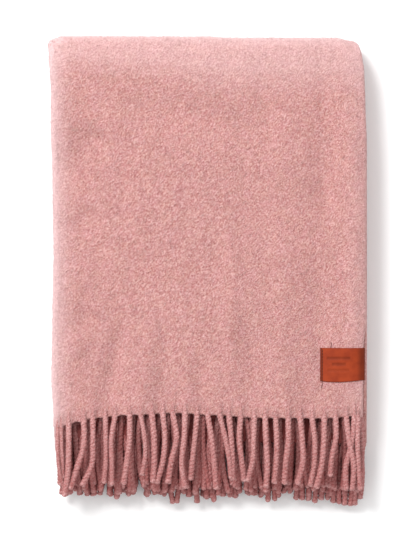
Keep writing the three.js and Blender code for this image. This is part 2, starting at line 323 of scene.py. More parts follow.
def lumps(a, b, size, seed):
    """Smooth seeded heights from -1 to 1 over the plane (a, b), with lumps of a size in mm."""
    cells = 97
    table = np.random.default_rng(seed).uniform(-1, 1, (cells, cells))
    i, j = np.floor(a / size).astype(int), np.floor(b / size).astype(int)
    s, t = a / size - i, b / size - j
    s, t = s * s * (3 - 2 * s), t * t * (3 - 2 * t)
    corner = lambda di, dj: table[(i + di) % cells, (j + dj) % cells]
    low = corner(0, 0) * (1 - s) + corner(1, 0) * s
    high = corner(0, 1) * (1 - s) + corner(1, 1) * s
    return low * (1 - t) + high * t


def lumpy(a, b, rows):
    """Lumps of several sizes together, from rows of height, size and seed."""
    return sum(height * lumps(a, b, size, seed) for height, size, seed in rows)


def unit(vectors):
    """Vectors of the same directions, one long."""
    return vectors / np.maximum(np.linalg.norm(vectors, axis=-1, keepdims=True), 1e-9)


def fold_path(runs):
    """Straight runs joined by half turns, as rows: length so far, along, height, heading."""
    rows = []
    for run, after in zip(runs, runs[1:] + [None]):
        heading = math.copysign(1, run["end"] - run["start"])
        rows.append((run["start"], run["height"], heading, 0.0))
        rows.append((run["end"], run["height"], heading, 0.0))
        if after is None:
            continue
        rise = (after["height"] - run["height"]) / 2
        for k in range(1, TURN_STEPS):
            turn = math.pi * k / TURN_STEPS
            along = run["end"] + heading * run["reach"] * math.sin(turn)
            height = run["height"] + rise * (1 - math.cos(turn))
            go = (heading * run["reach"] * math.cos(turn), rise * math.sin(turn))
            size = math.hypot(*go)
            rows.append((along, height, go[0] / size, go[1] / size))
    rows = np.array(rows)
    steps = np.hypot(np.diff(rows[:, 0]), np.diff(rows[:, 1]))
    length = np.concatenate([[0], np.cumsum(steps)])
    return np.column_stack([length, rows])


def on_path(path, length):
    """Along, height and heading at each length; past either end the path goes straight on."""
    along, height, go_along, go_up = (np.interp(length, path[:, 0], path[:, k]) for k in range(1, 5))
    size = np.hypot(go_along, go_up)
    past = np.minimum(length, 0) + np.maximum(length - path[-1, 0], 0)
    return along + past * go_along, height, go_along / size, go_up / size


def layer(number):
    """How high a layer lies over its packet's middle, counted from the front."""
    return (2.5 - number) * LAYER_PITCH


def packet(number):
    """How high a packet's middle lies over the floor, counted from the front."""
    return PACKET_HALF + (4 - number) * PACKET_PITCH


LEFT_TURN_X = LEFT_FOLD_X + PACKET_HALF
RIGHT_TURN_X = RIGHT_FOLD_X - LAYER_PITCH / 2 - CAD_CLOTH_THICK / 2
FRONT_RUN = FRONT_SELVEDGE_X - LEFT_TURN_X
TOP_TURN_Y = TOP_FOLD_Y - PACKET_HALF - TOP_FOLD_REACH
BOTTOM_TURN_Y = BOTTOM_FOLD_Y + PACKET_HALF + PACKET_PITCH / 2
INNER_TURN_Y = TOP_FOLD_Y - 2 * PACKET_HALF - INNER_FOLD_BACK - PACKET_PITCH / 2
ACROSS = fold_path([
    dict(start=FRONT_SELVEDGE_X, end=LEFT_TURN_X, height=layer(1), reach=1.5 * LAYER_PITCH),
    dict(start=LEFT_TURN_X, end=RIGHT_TURN_X, height=layer(4), reach=0.5 * LAYER_PITCH),
    dict(start=RIGHT_TURN_X, end=LEFT_TURN_X, height=layer(3), reach=0.5 * LAYER_PITCH),
    dict(start=LEFT_TURN_X, end=BACK_SELVEDGE_X, height=layer(2)),
])
ALONG = fold_path([
    dict(start=FRONT_HEM_Y, end=TOP_TURN_Y, height=packet(1), reach=TOP_FOLD_REACH),
    dict(start=TOP_TURN_Y, end=BOTTOM_TURN_Y, height=packet(4), reach=PACKET_PITCH / 2),
    dict(start=BOTTOM_TURN_Y, end=INNER_TURN_Y, height=packet(3), reach=PACKET_PITCH / 2),
    dict(start=INNER_TURN_Y, end=BACK_HEM_Y, height=packet(2)),
])
# Lengths along both paths at which each straight run starts and ends
ACROSS_ENDS = [ACROSS[k * (TURN_STEPS + 1) + d, 0] for k in range(4) for d in (0, 1)]
ALONG_ENDS = [ALONG[k * (TURN_STEPS + 1) + d, 0] for k in range(4) for d in (0, 1)]
CLOTH_WIDTH = ACROSS[-1, 0]
CLOTH_LENGTH = ALONG[-1, 0]
LEFT_TURN_END = ACROSS_ENDS[2]
TOP_TURN_END = ALONG_ENDS[2]


def front_relief(x, y):
    """The front face's own unevenness: placed creases, ripples at the hem and soft lumps."""
    height = np.zeros_like(x)
    for x0, y0, x1, y1, half_width, rise in CREASES:
        run = np.array([x1 - x0, y1 - y0])
        share = ((x - x0) * run[0] + (y - y0) * run[1]) / (run @ run)
        share = np.clip(share, 0, 1)
        away = np.hypot(x - x0 - share * run[0], y - y0 - share * run[1])
        height += rise * (1 - near(share, CREASE_FADE)) * np.exp(-((away / half_width) ** 2))
    height += eased(HEM_RIPPLES, x) * near(y - FRONT_HEM_Y, RIPPLE_FADE)
    height += lumpy(x, y, SOFT_LUMPS)
    return height


def hidden_relief(x, y):
    """The unevenness of the layers behind the front one. Their cells are wide, so each point
    goes as low as the front face does within a cell, except beside the throw's two sides."""
    relief = front_relief(x, y)
    lowest = np.minimum.reduce([front_relief(x + shift, y) for shift in HIDDEN_SHIFTS])
    from_side = np.minimum(x - LEFT_FOLD_X, RIGHT_FOLD_X - x)
    return lowest + (relief - lowest) * near(from_side, SIDE_REACH)


def roots_ridge(width):
    """1 where a front tassel leaves the cloth and 0 midway between two."""
    place = np.interp(width, FRONT_ROOTS, np.arange(len(FRONT_ROOTS)))
    return 0.5 + 0.5 * np.cos(2 * np.pi * place)


# The front tassels' places along the hem, spread evenly until they are found below
FRONT_ROOTS = np.linspace(0, FRONT_RUN, TASSELS_A_LAYER)


def cloth_point(width, length, raised):
    """The folded cloth's point, raised from its middle towards its outer side."""
    width, length, raised = np.broadcast_arrays(*(np.asarray(v, float) for v in (width, length, raised)))
    across_along, across_up, across_go, across_rise = on_path(ACROSS, width)
    along, up, go, rise = on_path(ALONG, length)
    x = across_along + raised * across_rise
    in_packet = across_up - raised * across_go
    y = along - in_packet * rise
    z = up + in_packet * go

    y = y - eased(FRONT_HEM_DROP, width) * near(length, HEM_FADE)
    y = y - eased(BACK_HEM_DROP, width) * near(CLOTH_LENGTH - length, HEM_FADE)
    y = y + eased(TOP_EDGE, x) * near(TOP_FOLD_Y - y, TOP_FADE)

    in_front = near(width - FRONT_RUN + FRONT_END_BACK, FRONT_END_FADE)
    ridge = roots_ridge(width)
    y = y + in_front * SCALLOP * (1 - ridge) * near(length, SCALLOP_FADE)
    z = z + in_front * ROOT_RISE * ridge * near(length, ROOT_LENGTH)

    label_middle = LABEL_TOP - LABEL_HEIGHT / 2
    off_label = np.maximum(width - LABEL_LENGTH, np.abs(length - label_middle) - LABEL_HEIGHT / 2)
    z = z + LABEL_LIFT * near(off_label, LIFT_FADE)
    z = z * eased(HEIGHT_SHARE, x) * eased(SLUMP, y)

    drawn_in = eased(SELVEDGE_INSET, y) * near(width, INSET_FADE)
    half = (RIGHT_FOLD_X - LEFT_FOLD_X) / 2
    to_left, to_right = np.maximum(-x / half, 0), np.maximum(x / half, 0)
    x = x + eased(LEFT_SIDE, y) * to_left + eased(RIGHT_SIDE, y) * to_right - drawn_in
    relief = in_front * front_relief(x, y) + (1 - in_front) * hidden_relief(x, y)
    z = z + relief * z / STACK_HEIGHT
    return np.stack([x, y, z], axis=-1)


# The same places again, from the x at which each tassel leaves the hem
hem_widths = np.linspace(0, FRONT_RUN + 4, 900)
hem_xs = cloth_point(hem_widths, 0.0, 0.0)[:, 0]
FRONT_ROOTS = np.sort(np.interp([-row[0] for row in FRONT_TASSELS], -hem_xs, hem_widths))


def add_node(tree, kind, inputs=(), **settings):
    """Adds a shader node. A setting is one of its properties, and an input is a value or the
    socket that is linked to it."""
    made = tree.nodes.new("ShaderNode" + kind)
    for name, value in settings.items():
        setattr(made, name, value)
    for name, value in dict(inputs).items():
        if isinstance(value, bpy.types.NodeSocket):
            tree.links.new(value, made.inputs[name])
        else:
            made.inputs[name].default_value = value
    return made


def linear(code):
    """The linear colour of an sRGB hex code."""
    parts = [int(code[k : k + 2], 16) / 255 for k in (1, 3, 5)]
    return [p / 12.92 if p <= 0.04045 else ((p + 0.055) / 1.055) ** 2.4 for p in parts] + [1.0]


def per_metre(size_mm):
    """The noise scale whose grains have that real size."""
    return 1000 / size_mm


def new_material(name):
    material = bpy.data.materials.new(name)
    material.use_nodes = True
    material.node_tree.nodes.clear()
    return material, material.node_tree


def finish_material(tree, surface_inputs):
    surface = add_node(tree, "BsdfPrincipled", surface_inputs)
    add_node(tree, "OutputMaterial", {"Surface": surface.outputs[0]})


COMB_TURN = (0, 0, math.radians(48))  # the way in which the nap is combed
# What the fibres of other dyes do to the wool's red, green and blue
TAN_TINT = (0.985, 1.0, 0.955, 1.0)
ROSE_TINT = (1.0, 0.985, 1.02, 1.0)


def brushed_wool():
    """Wool woven and then brushed: the nap hides the weave, and fine matted fibre gives a
    mottled pink of paler and deeper grains, with a painted highlight at the folds' outlines and painted
    shade on the folds under the fringe."""
    material, tree = new_material("brushed_wool")
    place = add_node(tree, "TexCoord").outputs["Object"]
    # The nap is combed up to the right, so its grains are drawn out that way. Its fibres are too
    # fine to show, so a grain is as coarse as a tuft of them.
    combed = add_node(
        tree, "Mapping", {"Vector": place, "Rotation": COMB_TURN, "Scale": (1.4, 0.92, 1.0)},
        vector_type="TEXTURE",
    ).outputs[0]
    grain = add_node(
        tree, "TexNoise", {"Vector": combed, "Scale": per_metre(1.5), "Detail": 3.0, "Roughness": 0.8}
    ).outputs["Fac"]
    # Small locks of it mat together and lie a little paler or deeper.
    locks = add_node(
        tree, "Mapping", {"Vector": place, "Rotation": COMB_TURN, "Scale": (2.4, 1.0, 1.0)},
        vector_type="TEXTURE",
    ).outputs[0]
    clump = add_node(
        tree, "TexNoise", {"Vector": locks, "Scale": per_metre(3.6), "Detail": 2.0, "Roughness": 0.55}
    ).outputs["Fac"]
    # Brushing runs up and down the cloth and leaves soft streaks of nap that lie unlike.
    streaked = add_node(tree, "Mapping", {"Vector": place, "Scale": (1.0, 0.28, 1.0)}).outputs[0]
    wide = add_node(
        tree, "TexNoise", {"Vector": streaked, "Scale": per_metre(20), "Detail": 2.0, "Roughness": 0.55}
    ).outputs["Fac"]
    grain_tone = add_node(tree, "ValToRGB", {"Fac": grain})
    ramp = grain_tone.color_ramp
    ramp.elements[0].position = 0.33
    ramp.elements[0].color = linear("#945a57")
    ramp.elements[1].position = 0.66
    ramp.elements[1].color = linear("#cfa7a3")
    middle = ramp.elements.new(0.49)
    middle.color = linear("#b4817e")
    clump_tone = add_node(
        tree, "MapRange", {"Value": clump, "From Min": 0.3, "From Max": 0.7, "To Min": 0.94, "To Max": 1.07}
    ).outputs[0]
    wide_tone = add_node(
        tree, "MapRange", {"Value": wide, "From Min": 0.3, "From Max": 0.7, "To Min": 0.955, "To Max": 1.045}
    ).outputs[0]
    tone = add_node(tree, "Math", {0: clump_tone, 1: wide_tone}, operation="MULTIPLY").outputs[0]
    colour = add_node(
        tree, "VectorMath", {0: grain_tone.outputs[0], "Scale": tone}, operation="SCALE"
    ).outputs[0]
    # Respun wool holds fibres of other dyes, so patches of it lean to tan or to rose.
    dye = add_node(
        tree, "TexNoise", {"Vector": place, "Scale": per_metre(8.5), "Detail": 3.0, "Roughness": 0.6}
    ).outputs["Fac"]
    tint = add_node(tree, "ValToRGB", {"Fac": dye})
    tint.color_ramp.elements[0].position = 0.34
    tint.color_ramp.elements[0].color = TAN_TINT
    tint.color_ramp.elements[1].position = 0.66
    tint.color_ramp.elements[1].color = ROSE_TINT
    colour = add_node(tree, "VectorMath", {0: colour, 1: tint.outputs[0]}, operation="MULTIPLY").outputs[0]
    # Where the cloth bends over a fold its nap opens, and the fibres' pale ends show. The same paleness,
    # reaching far in from the top and left folds, is also a painted highlight where they turn to the light.
    opened_and_lit = add_node(tree, "Attribute", attribute_name="open_nap_and_painted_highlight").outputs["Fac"]
    matted = add_node(
        tree, "MapRange", {"Value": grain, "From Min": 0.3, "From Max": 0.68, "To Min": 0.86, "To Max": 1.08}
    ).outputs[0]
    pale_ends_and_highlight = add_node(
        tree, "VectorMath", {0: linear("#dabcbd")[:3], "Scale": matted}, operation="SCALE"
    ).outputs[0]
    colour = add_node(tree, "Mix", {0: opened_and_lit, 6: colour, 7: pale_ends_and_highlight}, data_type="RGBA").outputs[2]
    # Painted shade: the folds under the fringe lie in its shade, so they are painted a deeper red.
    painted_hem_shade = add_node(tree, "Attribute", attribute_name="painted_hem_shade").outputs["Fac"]
    colour = add_node(
        tree, "Mix", {0: painted_hem_shade, 6: colour, 7: linear("#86423f")}, data_type="RGBA"
    ).outputs[2]
    relief = add_node(tree, "Math", {0: clump, 1: 0.5, 2: grain}, operation="MULTIPLY_ADD").outputs[0]
    bump = add_node(tree, "Bump", {"Height": relief, "Distance": 0.0016, "Strength": 0.7}).outputs[0]
    finish_material(tree, {
        "Base Color": colour,
        "Roughness": 0.95,
        "IOR": 1.54,
        "Specular IOR Level": 0.15,
        "Normal": bump,
        "Sheen Weight": 0.08,
        "Sheen Roughness": 0.5,
        "Sheen Tint": linear("#ffe4e0"),
    })
    return material


def loose_fibre():
    """Single wool fibres that stand off the nap: paler than the cloth, and a little shiny because
    each is smooth."""
    material, tree = new_material("loose_wool_fibre")
    finish_material(tree, {
        "Base Color": linear("#c9a3a0"),
        "Roughness": 0.7,
        "IOR": 1.54,
        "Specular IOR Level": 0.3,
    })
    return material


def twisted_yarn():
    """Two-ply tassels twisted from the cloth's own yarn and washed until they mat: the front row
    is brushed as pale as the cloth; what lies behind, each ply's lower side and the lower parts are painted
    deeper red as shade."""
    material, tree = new_material("twisted_wool_yarn")
    place = add_node(tree, "TexCoord").outputs["Object"]
    # Matted fibre, drawn as coarse as it needs to show.
    grain = add_node(
        tree, "TexNoise", {"Vector": place, "Scale": per_metre(1.7), "Detail": 3.0, "Roughness": 0.7}
    ).outputs["Fac"]
    # How pale each point is: brushing on the front row, painted shade behind it, on the plies' lower sides
    # and down the tassels
    brushed_and_lit = add_node(tree, "Attribute", attribute_name="brushed_and_lit").outputs["Fac"]
    tones = []
    for dark, light in (("#873633", "#98524f"), ("#985956", "#d3a9a7")):
        tone = add_node(tree, "ValToRGB", {"Fac": grain})
        ramp = tone.color_ramp
        ramp.elements[0].position = 0.32
        ramp.elements[0].color = linear(dark)
        ramp.elements[1].position = 0.68
        ramp.elements[1].color = linear(light)
        tones.append(tone.outputs[0])
    colour = add_node(tree, "Mix", {0: brushed_and_lit, 6: tones[0], 7: tones[1]}, data_type="RGBA").outputs[2]
    bump = add_node(tree, "Bump", {"Height": grain, "Distance": 0.0012, "Strength": 0.6}).outputs[0]
    finish_material(tree, {
        "Base Color": colour,
        "Roughness": 0.95,
        "IOR": 1.54,
        "Specular IOR Level": 0.12,
        "Normal": bump,
    })
    return material


def cognac_leather():
    """Vegetable-tanned cowhide, dyed cognac and lightly waxed: even rust brown with faint
    mottling, a fine grain and a low, wide shine."""
    material, tree = new_material("cognac_leather")
    place = add_node(tree, "TexCoord").outputs["Object"]
    mottle = add_node(
        tree, "TexNoise", {"Vector": place, "Scale": per_metre(11), "Detail": 4.0, "Roughness": 0.6}
    ).outputs["Fac"]
    # Pores are under half a millimetre apart, and drawn coarser so that they show.
    pores = add_node(
        tree, "TexNoise", {"Vector": place, "Scale": per_metre(0.9), "Detail": 2.0, "Roughness": 0.6}
    ).outputs["Fac"]
    tone = add_node(tree, "ValToRGB", {"Fac": mottle})
    ramp = tone.color_ramp
    ramp.elements[0].position = 0.35
    ramp.elements[0].color = linear("#832f16")
    ramp.elements[1].position = 0.65
    ramp.elements[1].color = linear("#93381a")
    # The leather is darker at its sewn end, its two level edges and the pressed marks; its darkening round
    # the bend to the selvedge is painted shade.
    worked_and_shaded = add_node(tree, "Attribute", attribute_name="worked_and_shaded").outputs["Fac"]
    colour = add_node(
        tree, "Mix", {0: worked_and_shaded, 6: tone.outputs[0], 7: linear("#4a190c")}, data_type="RGBA"
    ).outputs[2]
    bump = add_node(tree, "Bump", {"Height": pores, "Distance": 0.0003, "Strength": 0.5}).outputs[0]
    finish_material(tree, {
        "Base Color": colour,
        "Roughness": 0.6,
        "IOR": 1.5,
        "Specular IOR Level": 0.12,
        "Normal": bump,
    })
    return material


def sewing_thread():
    """Waxed brown thread: a dark matt line beside the leather's warm brown."""
    material, tree = new_material("brown_sewing_thread")
    finish_material(tree, {
        "Base Color": linear("#5c2516"),
        "Roughness": 0.7,
        "IOR": 1.5,
        "Specular IOR Level": 0.3,
    })
    return material


def pale_floor():
    """Matt white studio paper."""
    material, tree = new_material("white_studio_paper")
    finish_material(tree, {
        "Base Color": linear("#f4f4f4"),
        "Roughness": 0.9,
        "Specular IOR Level": 0.2,
    })
    return material


def placed(mesh, material):
    """A finished mesh as a smooth piece of the same name, riding on the throw."""
    mesh.shade_smooth()
    mesh.materials.append(material)
    made = bpy.data.objects.new(mesh.name, mesh)
    bpy.context.scene.collection.objects.link(made)
    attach(made, "root")
    return made


def new_piece(name, points, faces, material, slot):
    """A piece from points in mm."""
    mesh = bpy.data.meshes.new(name)
    mesh.from_pydata((np.asarray(points) * MM).tolist(), [], faces)
    mesh.validate()
    return placed(mesh, material)


def give(mesh, name, shares):
    """Gives each vertex of a mesh its own share, for the material to read by name."""
    mesh.attributes.new(name, "FLOAT", "POINT").data.foreach_set("value", np.asarray(shares, np.float32))


def even_steps(ends, counts):
    """Places from end to end of every straight run and turn, each cut into its count of steps."""
    parts = [np.linspace(a, b, n, endpoint=False) for a, b, n in zip(ends, ends[1:], counts)]
    return np.concatenate(parts + [ends[-1:]])


def sheet_faces(number):
    """The faces of both sides of a sheet, and the numbers of the points round its rim. Its upper
    points have the given numbers, and its lower ones follow them."""
    a, b, c, d = number[:-1, :-1], number[1:, :-1], number[1:, 1:], number[:-1, 1:]
    faces = np.stack([a, d, c, b], axis=-1).reshape(-1, 4).tolist()
    faces += (np.stack([a, b, c, d], axis=-1).reshape(-1, 4) + number.size).tolist()
    loop = [*number[:, 0], *number[-1, 1:], *number[-2::-1, -1], *number[0, -2:0:-1]]
    return faces, [int(corner) for corner in loop]


def cloth_grid():
    """The cloth laid flat, as points of width, length and side, and the faces between them: a
    closed sheet with its rim bulging out."""
    widths = even_steps(ACROSS_ENDS, WIDTH_CELLS)
    lengths = even_steps(ALONG_ENDS, LENGTH_CELLS)
    width, length = np.meshgrid(widths, lengths, indexing="ij")
    flat = np.stack([width.ravel(), length.ravel()], axis=-1)
    outer = np.column_stack([flat, np.full(len(flat), 1.0)])
    inner = np.column_stack([flat, np.full(len(flat), -1.0)])
    count = len(flat)
    faces, loop = sheet_faces(np.arange(count).reshape(width.shape))
    rim = []
    for k, corner in enumerate(loop):
        w, v = flat[corner]
        w += RIM_BULGE * (float(w == widths[-1]) - float(w == widths[0]))
        v += RIM_BULGE * (float(v == lengths[-1]) - float(v == lengths[0]))
        rim.append((w, v, 0.0))
        after = (k + 1) % len(loop)
        faces.append([corner, loop[after], 2 * count + after, 2 * count + k])
        faces.append([2 * count + k, 2 * count + after, loop[after] + count, corner + count])
    return np.concatenate([outer, inner, np.array(rim)]), faces


def shows_in_front(vertex):
    """Whether a vertex of the flat cloth shows in front or lies just behind the front hem."""
    w, v, side = vertex.co
    shown = side > 0.5 or v < HEM_INNER_FINE and (side < -0.5 or v < 0)
    return shown and w < LEFT_TURN_END + ROUNDING and v < TOP_TURN_END + ROUNDING


def cloth(wool):
    """The whole cloth, cut finer where the front shows, then folded."""
    points, faces = cloth_grid()
    mesh = bpy.data.meshes.new("throw_wool")
    mesh.from_pydata(points.tolist(), [], faces)
    work = bmesh.new()
    work.from_mesh(mesh)
    chosen = [edge for edge in work.edges if all(shows_in_front(end) for end in edge.verts)]
    bmesh.ops.subdivide_edges(work, edges=chosen, cuts=FINE_CUTS, use_grid_fill=True)
    bmesh.ops.recalc_face_normals(work, faces=work.faces)
    work.to_mesh(mesh)
    work.free()

    places = np.empty(len(mesh.vertices) * 3)
    mesh.vertices.foreach_get("co", places)
    w, v, side = places.reshape(-1, 3).T
    shape = cloth_point(w, v, side * CLOTH_THICK / 2)
    outer_side = np.clip(side, 0, 1) * (w < LEFT_TURN_END) * (v < TOP_TURN_END)
    shape += (lumpy(w, v, FELT_LUMPS) * outer_side)[:, None] * cloth_normal(w, v)
    # Nothing goes below the floor.
    shape[:, 2] = np.maximum(shape[:, 2], 0)
    mesh.vertices.foreach_set("co", (shape * MM).ravel())
    # The opened nap's paleness together with a painted highlight at the fold outlines
    give(mesh, "open_nap_and_painted_highlight", open_nap_and_painted_highlight(shape, w))
    # Painted shade on the hidden folds just above the front hem, which the fringe shades
    behind = (w > LEFT_TURN_END) | (v > TOP_TURN_END)
    from_side = np.minimum(shape[:, 0] - LEFT_FOLD_X, RIGHT_FOLD_X - shape[:, 0])
    above_hem = shape[:, 1] - FRONT_HEM_Y - HEM_SHADE_UP
    painted_hem_shade = behind * (1 - near(from_side, UNSHADED_RIM)) * near(above_hem, HEM_SHADE_REACH)
    give(mesh, "painted_hem_shade", painted_hem_shade)
    mesh.update()
    return placed(mesh, wool)


def open_nap_and_painted_highlight(points, width):
    """How pale each point is painted, from the opened nap and a painted highlight: most at the outlines of
    the top and left folds.
    """
    x, y = points[:, 0], points[:, 1]
    from_top = (TOP_FOLD_Y + eased(TOP_EDGE, x) - y) / eased(NAP_AND_HIGHLIGHT_TOP_DEPTH, x)
    from_left = x - LEFT_FOLD_X - eased(LEFT_SIDE, y)
    flat = (1 - eased(NAP_AND_HIGHLIGHT_AT_TOP, from_top)) * (1 - eased(NAP_AND_HIGHLIGHT_AT_LEFT, from_left))
    return 1 - flat * (1 - eased(NAP_AND_HIGHLIGHT_AT_RIGHT, width))


def cloth_tangents(width, length):
    """Unit directions across and along the cloth's outer side."""
    raised = CLOTH_THICK / 2
    step = 0.6
    across = cloth_point(width + step, length, raised) - cloth_point(width - step, length, raised)
    along = cloth_point(width, length + step, raised) - cloth_point(width, length - step, raised)
    return unit(across), unit(along)


def cloth_normal(width, length):
    """The unit direction out of the cloth's outer side."""
    across, along = cloth_tangents(width, length)
    return unit(np.cross(along, across))


def frames(lines):
    """For lines of points, unit directions along, to the side and up at each point."""
    along = unit(np.gradient(lines, axis=1))
    side = unit(np.cross(along, np.array([0.02, 0.01, 1.0])))
    return along, side, np.cross(side, along)


def tubes(lines, radii, sides):
    """Closed round tubes along lines of points: the points and faces of one joined mesh."""
    lines, radii = np.asarray(lines), np.asarray(radii)
    count, rows = lines.shape[:2]
    _, side, up = frames(lines)
    turn = 2 * np.pi * np.arange(sides) / sides
    ring = side[:, :, None] * np.cos(turn)[:, None] + up[:, :, None] * np.sin(turn)[:, None]
    points = lines[:, :, None] + radii[:, :, None, None] * ring
    number = np.arange(count * rows * sides).reshape(count, rows, sides)
    beside = np.roll(number, -1, axis=2)
    walls = np.stack([number[:, :-1], beside[:, :-1], beside[:, 1:], number[:, 1:]], axis=-1)
    faces = walls.reshape(-1, 4).tolist()
    faces += number[:, 0, ::-1].tolist()
    faces += number[:, -1].tolist()
    return points.reshape(-1, 3), faces


def smooth_lines(knots, rows):
    """Smooth curves through the knots of each line, in evenly spaced rows."""
    knots = np.asarray(knots, float)
    count = knots.shape[1]
    before = np.concatenate([2 * knots[:, :1] - knots[:, 1:2], knots[:, :-1]], axis=1)
    after = np.concatenate([knots[:, 1:], 2 * knots[:, -1:] - knots[:, -2:-1]], axis=1)
    slopes = (after - before) / 2
    place = np.linspace(0, count - 1, rows)
    low = np.minimum(place.astype(int), count - 2)
    t = (place - low)[None, :, None]
    a, b, sa, sb = knots[:, low], knots[:, low + 1], slopes[:, low], slopes[:, low + 1]
    return (
        (2 * t**3 - 3 * t**2 + 1) * a
        + (t**3 - 2 * t**2 + t) * sa
        + (3 * t**2 - 2 * t**3) * b
        + (t**3 - t**2) * sb
    )


def twisted_tassels(lines, thickness, brushing_and_light, rng, sides, twist):
    """Two plies wound round each line: they rise out of the cloth and are cut off blunt. Gives
    the points, the faces and how pale each point is: brushed pale, with painted shade on a ply's lower side
    and down the tassel, so palest on top and near the cloth."""
    lines = np.asarray(lines)
    count, rows = lines.shape[:2]
    steps = np.linalg.norm(np.diff(lines, axis=1), axis=-1)
    run = np.concatenate([np.zeros((count, 1)), np.cumsum(steps, axis=1)], axis=1)
    _, side, up = frames(lines)
    thickness = np.asarray(thickness)[:, None]
    pitch = twist * thickness * rng.uniform(0.9, 1.12, (count, 1))
    turn = rng.uniform(0, 2 * np.pi, (count, 1)) - 2 * np.pi * run / pitch
    own_row = 40.0 * np.arange(count)[:, None] + 0 * run
    uneven = 1 + PLY_UNEVEN * lumps(run, own_row, PLY_UNEVEN_SIZE, 21)
    left = run[:, -1:] - run
    blunt = np.sqrt(np.clip(1 - (1 - np.clip(left / BLUNT_LENGTH, 0, 1)) ** 2, 0.12, 1))
    size = thickness * (1 - THIN_ROOT * near(run, THIN_ROOT_LENGTH)) * uneven * blunt
    apart = (TASSEL_RADIUS - PLY_RADIUS) * size
    radius = PLY_RADIUS * size * (1 + TIP_SWELL * near(left, TIP_LENGTH))
    plies = []
    for start in (0, np.pi):
        angle = turn + start
        out = side * np.cos(angle)[..., None] + up * np.sin(angle)[..., None]
        plies.append(lines + apart[..., None] * out)
    points, faces = tubes(np.concatenate(plies), np.concatenate([radius, radius]), sides)
    middles = np.repeat(np.concatenate([lines, lines]).reshape(-1, 3), sides, axis=0)
    upward = np.repeat(np.concatenate([up, up]).reshape(-1, 3), sides, axis=0)
    facing = np.sum(unit(points - middles) * upward, axis=1)
    along = np.tile(run / run[:, -1:], (2, 1)).repeat(sides)
    share = np.tile(np.broadcast_to(brushing_and_light, (count,)).repeat(rows * sides), 2)
    at_root = near(np.tile(run, (2, 1)), PALE_ROOT_LENGTH).repeat(sides)
    at_tip = near(np.tile(left, (2, 1)), TIP_LENGTH).repeat(sides)
    # Painted shade: deeper on a ply's lower side away from its root, and deeper down the tassel
    shaded = SHADED_SIDE * (1 - np.clip(0.25 + 0.9 * facing, 0, 1)) * (1 - at_root)
    brushed_and_lit = share * (1 - shaded) * (1 - PAINTED_SHADE_DOWN * along) + PALE_TIP * at_tip
    return points, faces, np.clip(brushed_and_lit, 0, 1)


def joined(parts):
    """One mesh's points and faces from several."""
    points, faces, start = [], [], 0
    for part_points, part_faces, *_ in parts:
        points.append(part_points)
        faces += [[n + start for n in face] for face in part_faces]
        start += len(part_points)
    return np.concatenate(points), faces


def tassel_piece(name, node, groups, yarn):
    """Joined tassels that stand for a fringe."""
    piece = new_piece(name, *joined(groups), yarn, "wool_fringe")
    give(piece.data, "brushed_and_lit", np.concatenate([group[2] for group in groups]))
    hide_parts(node)
    return piece


def parted(x, y):
    """Moves tassel ends away from each parting and draws the nearest ones back from it."""
    for middle in PARTINGS:
        close = np.exp(-(((x - middle) / PARTING_HALF) ** 2))
        y = y + PARTING_RISE * close
        x = x + np.where(x < middle, -1, 1) * PARTING_PUSH * close
    return x, y


def front_lines(rng):
    """Centre lines of the front tassels, each on its own row of the table."""
    table = np.array(FRONT_TASSELS)
    widths = np.interp(-table[:, 0], -hem_xs, hem_widths)
    knots = [cloth_point(widths, above_hem, raised) for above_hem, raised in FRONT_ROOT]
    edge = knots[-1]
    end_y = table[:, 4]
    for share, x in ((0.33, table[:, 1]), (0.67, table[:, 2]), (1.0, table[:, 3])):
        y = edge[:, 1] + (end_y - edge[:, 1]) * share
        rise = FRONT_ARCH * math.sin(math.pi * share) - FRONT_FALL * share**2
        z = edge[:, 2] + rise + rng.uniform(-0.7, 0.7, len(x))
        knots.append(np.column_stack([x, y, z]))
    return smooth_lines(np.stack(knots, axis=1), FRONT_ROWS)


def layer_lines(number, hem_length, ends_x, ends_y, fall, rng, rows):
    """Centre lines of one layer's tassels, from its hem to the given ends, clear of the floor."""
    count = len(ends_x)
    start, stop = ACROSS_ENDS[2 * number - 2 : 2 * number]
    start_x, stop_x = cloth_point(np.array([start, stop]), hem_length, 0.0)[:, 0]
    spread = np.clip(ends_x + rng.normal(0, 3.2, count), *ROOTS_BETWEEN)
    widths = start + (stop - start) * (spread - start_x) / (stop_x - start_x)
    widths = np.clip(widths, 2, CLOTH_WIDTH - 2)
    at_front = hem_length == 0
    outward = -1 if at_front else 1
    root = cloth_point(widths, hem_length - outward * 3, 0.0)
    edge = cloth_point(widths, hem_length + outward * 1, 0.0)
    if at_front:
        edge[:, 2] -= UNDER_DIP
    knots = [root, edge]
    bow = rng.normal(0, 2.2, count)
    for share in (0.35, 0.7, 1.0):
        x = edge[:, 0] + (ends_x - edge[:, 0]) * share + bow * math.sin(math.pi * share)
        y = edge[:, 1] + (ends_y - edge[:, 1]) * share
        z = edge[:, 2] - fall * share**1.3 + rng.uniform(-0.5, 0.5, count)
        knots.append(np.column_stack([x, y, np.maximum(z, TASSEL_RADIUS + 0.5)]))
    return smooth_lines(np.stack(knots, axis=1), rows)


def brushing_and_light_of(x, least, most, rng):
    """How pale each tassel of a row is painted: a random share within the row's range, which is lower for
    rows in shade, and most at the two sides of the throw.
    """
    from_side = np.minimum(x - LAST_TASSEL_X, FIRST_TASSEL_X - x)
    at_side = SIDE_BRUSHING_AND_LIGHT * near(from_side, SIDE_BRUSHING_AND_LIGHT_REACH)
    return np.maximum(rng.uniform(least, most, len(x)), at_side)


def seeded_ends(push, sides, heights, rng):
    """The ends of a hidden layer's tassels: the usual pitch apart, but uneven."""
    x = LAST_TASSEL_X + TASSEL_PITCH * (np.arange(TASSELS_A_LAYER) + push) - 3
    x = np.clip(x + rng.normal(0, 1.3, len(x)), *sides)
    return parted(x, rng.uniform(*heights, len(x)))


